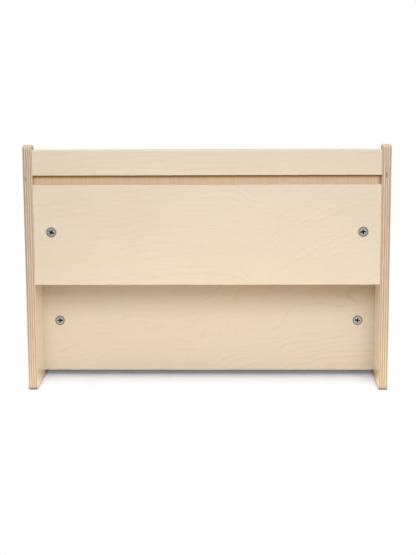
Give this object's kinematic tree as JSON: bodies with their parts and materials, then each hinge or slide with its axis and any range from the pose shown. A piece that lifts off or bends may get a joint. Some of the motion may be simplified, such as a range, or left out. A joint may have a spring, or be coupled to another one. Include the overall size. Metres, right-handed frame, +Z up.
{
  "type": "two-tier bookshelf",
  "caption": "Low birch plywood display bookshelf: stepped troughs hold books face out between sloping side boards, joined by cam fittings and dowels.",
  "frame": {"origin": "on the floor, under the middle of the shelf", "axes": "+Z up, +X along the boards' length towards right_side, +Y towards the plain back; the books face -Y"},
  "size_m": [0.6, 0.2, 0.4091],
  "materials": {
    "birch_plywood": "clear satin lacquer on pale birch veneer, with the plies showing at the edges",
    "zinc": "dull grey die-cast zinc",
    "steel": "bright zinc-plated steel",
    "beech": "bare beech"
  },
  "bodies": {
    "root": {"left_side": "birch_plywood", "right_side": "birch_plywood", "upper_back_panel": "birch_plywood", "lower_back_panel": "birch_plywood", "upper_shelf": "birch_plywood", "lower_shelf": "birch_plywood", "front_lip": "birch_plywood", "upper_back_panel_cam_left": "zinc", "upper_back_panel_cam_right": "zinc", "lower_back_panel_cam_left": "zinc", "lower_back_panel_cam_right": "zinc", "upper_shelf_cam_left": "zinc", "upper_shelf_cam_right": "zinc", "lower_shelf_cam_left": "zinc", "lower_shelf_cam_right": "zinc", "upper_back_panel_bolt_left": "steel", "upper_back_panel_bolt_right": "steel", "lower_back_panel_bolt_left": "steel", "lower_back_panel_bolt_right": "steel", "upper_shelf_bolt_left": "steel", "upper_shelf_bolt_right": "steel", "lower_shelf_bolt_left": "steel", "lower_shelf_bolt_right": "steel", "upper_back_panel_dowel_left_1": "beech", "upper_back_panel_dowel_left_2": "beech", "upper_back_panel_dowel_right_1": "beech", "upper_back_panel_dowel_right_2": "beech", "lower_back_panel_dowel_left_1": "beech", "lower_back_panel_dowel_left_2": "beech", "lower_back_panel_dowel_right_1": "beech", "lower_back_panel_dowel_right_2": "beech", "upper_shelf_dowel_left_1": "beech", "upper_shelf_dowel_right_1": "beech", "lower_shelf_dowel_left_1": "beech", "lower_shelf_dowel_right_1": "beech", "front_lip_dowel_left_1": "beech", "front_lip_dowel_left_2": "beech", "front_lip_dowel_right_1": "beech", "front_lip_dowel_right_2": "beech"}
  },
  "joints": []
}
